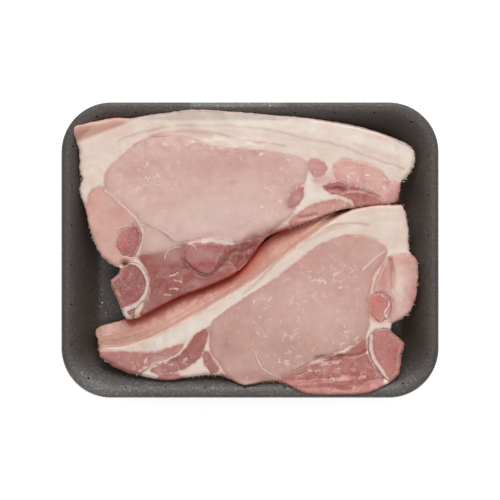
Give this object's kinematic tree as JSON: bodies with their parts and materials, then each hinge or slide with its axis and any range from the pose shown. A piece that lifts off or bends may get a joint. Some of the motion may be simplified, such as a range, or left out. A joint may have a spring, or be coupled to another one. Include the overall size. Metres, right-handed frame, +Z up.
{
  "type": "meat tray pack",
  "caption": "Dark foam supermarket tray with rounded corners and a rolled rim, filled with raw bone-in pork loin chops that lie flat and overlap like shingles.",
  "frame": {"origin": "centre of the tray's flat underside, at the height of the surface it stands on", "axes": "+X along the tray's long side, +Y along its short side towards the chops' rind, +Z up out of the open top"},
  "size_m": [0.235, 0.184, 0.0296],
  "materials": {
    "foam": "satin",
    "fat": "satin",
    "loin_lean": "wet",
    "spine_lean": "wet",
    "dark_lean": "wet",
    "belly_lean": "wet",
    "bone": "wet"
  },
  "bodies": {
    "root": {"tray": "foam", "upper_fat": "fat", "upper_loin": "loin_lean", "upper_slip": "belly_lean", "upper_side_lean": "loin_lean", "upper_spine_lean": "spine_lean", "upper_tenderloin": "dark_lean", "upper_flap": "dark_lean", "upper_belly_tip": "belly_lean", "upper_belly_outer": "belly_lean", "upper_belly_inner": "belly_lean", "upper_belly_strip": "belly_lean", "upper_backbone": "bone", "upper_process": "bone", "lower_fat": "fat", "lower_loin": "loin_lean", "lower_spine_lean": "spine_lean", "lower_tenderloin": "dark_lean", "lower_belly_tip": "belly_lean", "lower_belly_outer": "belly_lean", "lower_belly_inner": "belly_lean", "lower_belly_strip": "belly_lean", "lower_backbone": "bone", "lower_process": "bone"}
  },
  "joints": []
}
